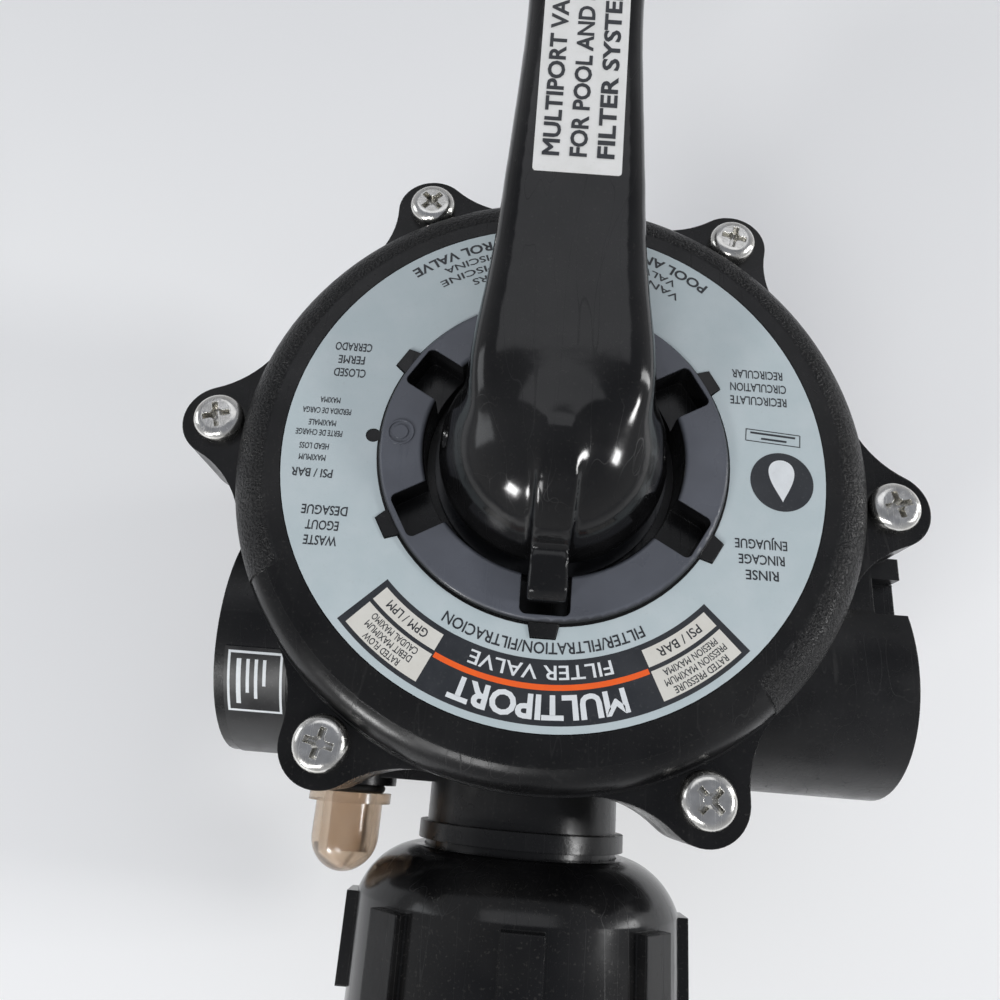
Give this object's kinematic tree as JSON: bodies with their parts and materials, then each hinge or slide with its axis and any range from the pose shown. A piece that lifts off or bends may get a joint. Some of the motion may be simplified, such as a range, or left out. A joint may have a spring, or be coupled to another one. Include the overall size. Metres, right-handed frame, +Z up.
{
  "type": "multiport valve",
  "caption": "Top-mount multiport valve for a pool filter: lobed cover with a printed dial, press-and-turn handle, two side pipe sockets, waste union and sight glass.",
  "frame": {"origin": "middle of the tank flange's underside, on the dial axis", "axes": "+Z up along the dial axis, -Y along the waste port and towards the FILTER position, +X along the longer pipe socket"},
  "size_m": [0.1836, 0.266, 0.192],
  "materials": {
    "body_plastic": "satin moulded ABS, black",
    "cover_plastic": "fine-textured moulded ABS, charcoal black",
    "handle_plastic": "polished moulded plastic, black",
    "key_plastic": "natural moulded plastic",
    "nut_plastic": "glossy moulded plastic, black",
    "label_print": "printed light blue-grey dial plate",
    "steel": "bright stainless steel",
    "rubber": "black moulded rubber",
    "clear_glass": "clear moulded bulb",
    "washer_plastic": "dark grey bearing plastic",
    "sticker_paper": "white printed sticker",
    "sticker_black": "black printed sticker"
  },
  "bodies": {
    "valve": {"valve_body": "body_plastic", "tank_o_ring": "rubber", "standpipe_o_ring": "rubber", "cover_o_ring": "rubber", "union_o_ring": "rubber", "spider_gasket": "rubber", "cover": "cover_plastic", "position_label": "label_print", "cover_screws": "steel", "cover_nuts": "steel", "spring_washer": "washer_plastic", "port_sticker": "sticker_black", "sight_glass": "clear_glass", "sight_o_ring": "rubber", "gauge_plug": "body_plastic"},
    "swivel": {"bearing_washer": "washer_plastic"},
    "diverter": {"key": "key_plastic", "stem_o_rings": "rubber", "spring": "steel"},
    "lever": {"handle": "handle_plastic", "handle_pin": "steel", "handle_sticker": "sticker_paper"},
    "union_nut": {"waste_union_nut": "nut_plastic"}
  },
  "joints": [
    {"name": "selector_turn", "type": "hinge", "parent": "valve", "child": "swivel", "pos_m": [0, 0, 0.14], "axis": [0, 0, 1], "range_deg": [-180, 180]},
    {"name": "key_seat", "type": "slide", "parent": "swivel", "child": "diverter", "axis": [0, 0, -1], "range_m": [0, 0.00237], "deforming": ["spring"]},
    {"name": "handle_lock", "type": "hinge", "parent": "diverter", "child": "lever", "pos_m": [0, 0, 0.15267], "axis": [1, 0, 0], "range_deg": [0, 7]},
    {"name": "union_nut_turn", "type": "hinge", "parent": "valve", "child": "union_nut", "pos_m": [0, -0.1, 0.1], "axis": [0, -1, 0], "continuous": true}
  ],
  "couplings": [
    {"joint": "key_seat", "follows": "handle_lock", "m_per_rad": 0.019432}
  ]
}
